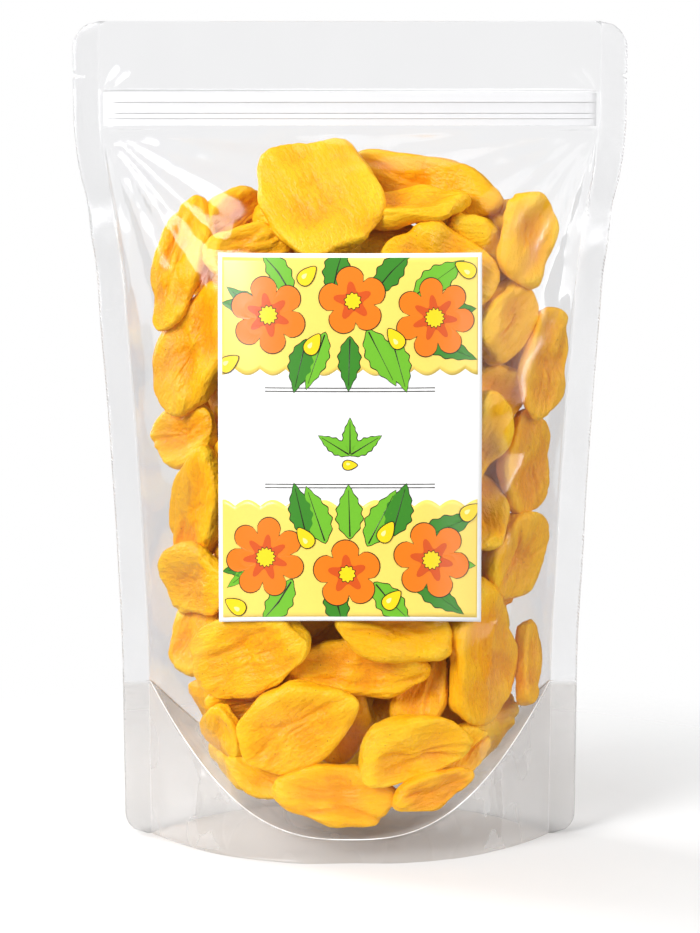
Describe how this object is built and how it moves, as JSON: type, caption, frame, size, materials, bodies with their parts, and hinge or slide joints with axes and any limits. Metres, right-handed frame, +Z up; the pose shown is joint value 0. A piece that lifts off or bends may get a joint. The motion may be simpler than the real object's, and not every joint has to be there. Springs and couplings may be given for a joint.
{
  "type": "stand-up pouch of dried jackfruit",
  "caption": "Clear stand-up zip pouch with a bottom gusset and a plain front label, filled with dried golden jackfruit pieces.",
  "frame": {"origin": "on the surface the pouch stands on, under the middle of its bounding box", "axes": "+Z up to the top edge, front panel and label facing -Y, side seals along X in the plane y = 0"},
  "size_m": [0.2, 0.088, 0.3],
  "materials": {
    "clear_film": "clear glossy laminated film",
    "zip_film": "cloudy clear polyethylene",
    "label_paper": "smooth coated white paper",
    "dried_jackfruit": "leathery, faintly translucent dried fruit with a dull sheen"
  },
  "bodies": {
    "root": {"front_panel": "clear_film", "back_panel": "clear_film", "bottom_gusset": "clear_film", "zip_strip_front": "zip_film", "zip_strip_back": "zip_film", "label": "label_paper", "jackfruit_piece_01": "dried_jackfruit", "jackfruit_piece_02": "dried_jackfruit", "jackfruit_piece_03": "dried_jackfruit", "jackfruit_piece_04": "dried_jackfruit", "jackfruit_piece_05": "dried_jackfruit", "jackfruit_piece_06": "dried_jackfruit", "jackfruit_piece_07": "dried_jackfruit", "jackfruit_piece_08": "dried_jackfruit", "jackfruit_piece_09": "dried_jackfruit", "jackfruit_piece_10": "dried_jackfruit", "jackfruit_piece_11": "dried_jackfruit", "jackfruit_piece_12": "dried_jackfruit", "jackfruit_piece_13": "dried_jackfruit", "jackfruit_piece_14": "dried_jackfruit", "jackfruit_piece_15": "dried_jackfruit", "jackfruit_piece_16": "dried_jackfruit", "jackfruit_piece_17": "dried_jackfruit", "jackfruit_piece_18": "dried_jackfruit", "jackfruit_piece_19": "dried_jackfruit", "jackfruit_piece_20": "dried_jackfruit", "jackfruit_piece_21": "dried_jackfruit", "jackfruit_piece_22": "dried_jackfruit", "jackfruit_piece_23": "dried_jackfruit", "jackfruit_piece_24": "dried_jackfruit", "jackfruit_piece_25": "dried_jackfruit", "jackfruit_piece_26": "dried_jackfruit", "jackfruit_piece_27": "dried_jackfruit", "jackfruit_piece_28": "dried_jackfruit", "jackfruit_piece_29": "dried_jackfruit", "jackfruit_piece_30": "dried_jackfruit", "jackfruit_piece_31": "dried_jackfruit", "jackfruit_piece_32": "dried_jackfruit", "jackfruit_piece_33": "dried_jackfruit", "jackfruit_piece_34": "dried_jackfruit", "jackfruit_piece_35": "dried_jackfruit", "jackfruit_piece_36": "dried_jackfruit", "jackfruit_piece_37": "dried_jackfruit", "jackfruit_piece_38": "dried_jackfruit", "jackfruit_piece_39": "dried_jackfruit", "jackfruit_piece_40": "dried_jackfruit", "jackfruit_piece_41": "dried_jackfruit", "jackfruit_piece_42": "dried_jackfruit", "jackfruit_piece_43": "dried_jackfruit", "jackfruit_piece_44": "dried_jackfruit", "jackfruit_piece_45": "dried_jackfruit", "jackfruit_piece_46": "dried_jackfruit", "jackfruit_piece_47": "dried_jackfruit", "jackfruit_piece_48": "dried_jackfruit", "jackfruit_piece_49": "dried_jackfruit", "jackfruit_piece_50": "dried_jackfruit", "jackfruit_piece_51": "dried_jackfruit", "jackfruit_piece_52": "dried_jackfruit", "jackfruit_heap_inside": "dried_jackfruit"}
  },
  "joints": []
}
